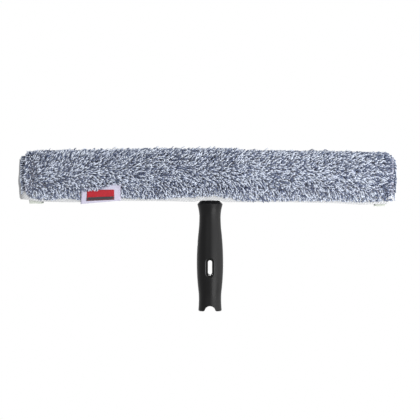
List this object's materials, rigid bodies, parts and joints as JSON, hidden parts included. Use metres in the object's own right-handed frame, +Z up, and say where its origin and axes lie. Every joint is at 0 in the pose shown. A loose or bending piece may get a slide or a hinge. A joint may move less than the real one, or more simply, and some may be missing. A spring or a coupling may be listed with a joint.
{
  "type": "window scrubber",
  "caption": "T-bar window scrubber: a tufted washer sleeve round a tubular crossbar, closed underneath by hook-and-loop flaps, on a tapered hollow handle that takes a pole.",
  "frame": {"origin": "centre of the pole socket's mouth, at the handle's lower end", "axes": "+Z up along the handle, X along the crossbar with +X to the right seen from the front, front of the sleeve towards -Y"},
  "size_m": [0.457, 0.0358, 0.1968],
  "materials": {
    "handle_plastic": "satin moulded polypropylene, black",
    "head_plastic": "moulded nylon, black",
    "screw_steel": "zinc-plated steel",
    "bar_aluminium": "extruded, mill finish",
    "base_cloth": "woven polyester base cloth",
    "tufted_pile": "tufted microfibre pile, white and navy grey",
    "hem_tape": "white twill tape",
    "loop_tape": "brushed nylon loop tape",
    "hook_tape": "moulded nylon hook tape",
    "label_cloth": "woven satin label, plain red"
  },
  "bodies": {
    "scrubber": {"handle": "handle_plastic", "t_head": "head_plastic", "handle_screw": "screw_steel", "screw_washer": "screw_steel", "crossbar": "bar_aluminium", "crossbar_rivets": "bar_aluminium", "left_end_plug": "head_plastic", "right_end_plug": "head_plastic", "sleeve_backing": "base_cloth", "left_end_panel": "base_cloth", "right_end_panel": "base_cloth", "pile_cover": "tufted_pile", "left_end_pile": "tufted_pile", "right_end_pile": "tufted_pile", "left_end_binding": "hem_tape", "front_hem": "hem_tape", "sewn_label": "label_cloth", "left_loop_tape": "loop_tape", "right_loop_tape": "loop_tape"},
    "left_flap": {"left_closing_flap": "hem_tape", "left_hook_tape": "hook_tape", "left_pull_tab": "hem_tape"},
    "right_flap": {"right_closing_flap": "hem_tape", "right_hook_tape": "hook_tape", "right_pull_tab": "hem_tape"}
  },
  "joints": [
    {"name": "left_flap_hinge", "type": "hinge", "parent": "scrubber", "child": "left_flap", "pos_m": [-0.1175, 0.0098, 0.1427], "axis": [1, 0, 0], "range_deg": [0, 120]},
    {"name": "right_flap_hinge", "type": "hinge", "parent": "scrubber", "child": "right_flap", "pos_m": [0.1155, 0.0098, 0.1427], "axis": [1, 0, 0], "range_deg": [0, 120]}
  ]
}
